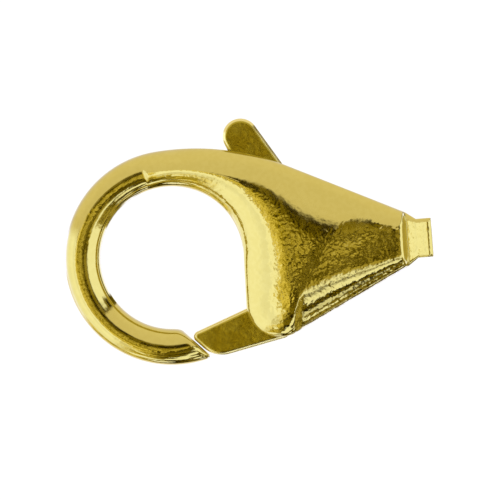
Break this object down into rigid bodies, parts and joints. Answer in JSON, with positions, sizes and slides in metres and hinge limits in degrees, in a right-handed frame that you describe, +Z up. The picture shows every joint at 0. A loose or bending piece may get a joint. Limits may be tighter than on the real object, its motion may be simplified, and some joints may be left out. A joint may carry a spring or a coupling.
{
  "type": "lobster clasp",
  "caption": "Small sprung lobster clasp: a round hook and a hollow housing, closed by a pivoting gate lever with a thumb tab, and a drilled tail loop.",
  "frame": {"origin": "centre of the outline, on the flat surface that the clasp lies on", "axes": "+X from the hook to the tail loop, +Y towards the thumb tab, +Z up, through the clasp's thickness"},
  "size_m": [0.015, 0.0098, 0.003],
  "materials": {
    "polished_gold": "polished, gold plated",
    "lever_gold": "polished, gold plated, with rounded edges",
    "pin_steel": "plain drawn pin",
    "spring_steel": "plain spring strip"
  },
  "bodies": {
    "body": {"body": "polished_gold", "pivot_pin": "pin_steel", "return_spring": "spring_steel"},
    "lever": {"lever": "lever_gold"}
  },
  "joints": [
    {"name": "lever_hinge", "type": "hinge", "parent": "body", "child": "lever", "pos_m": [0.00202, -0.00146, 0.0015], "axis": [0, 0, -1], "range_deg": [0, 30], "stiffness_Nm_per_rad": 0.005, "springref_deg": -17.19, "deforming": ["return_spring"]}
  ]
}
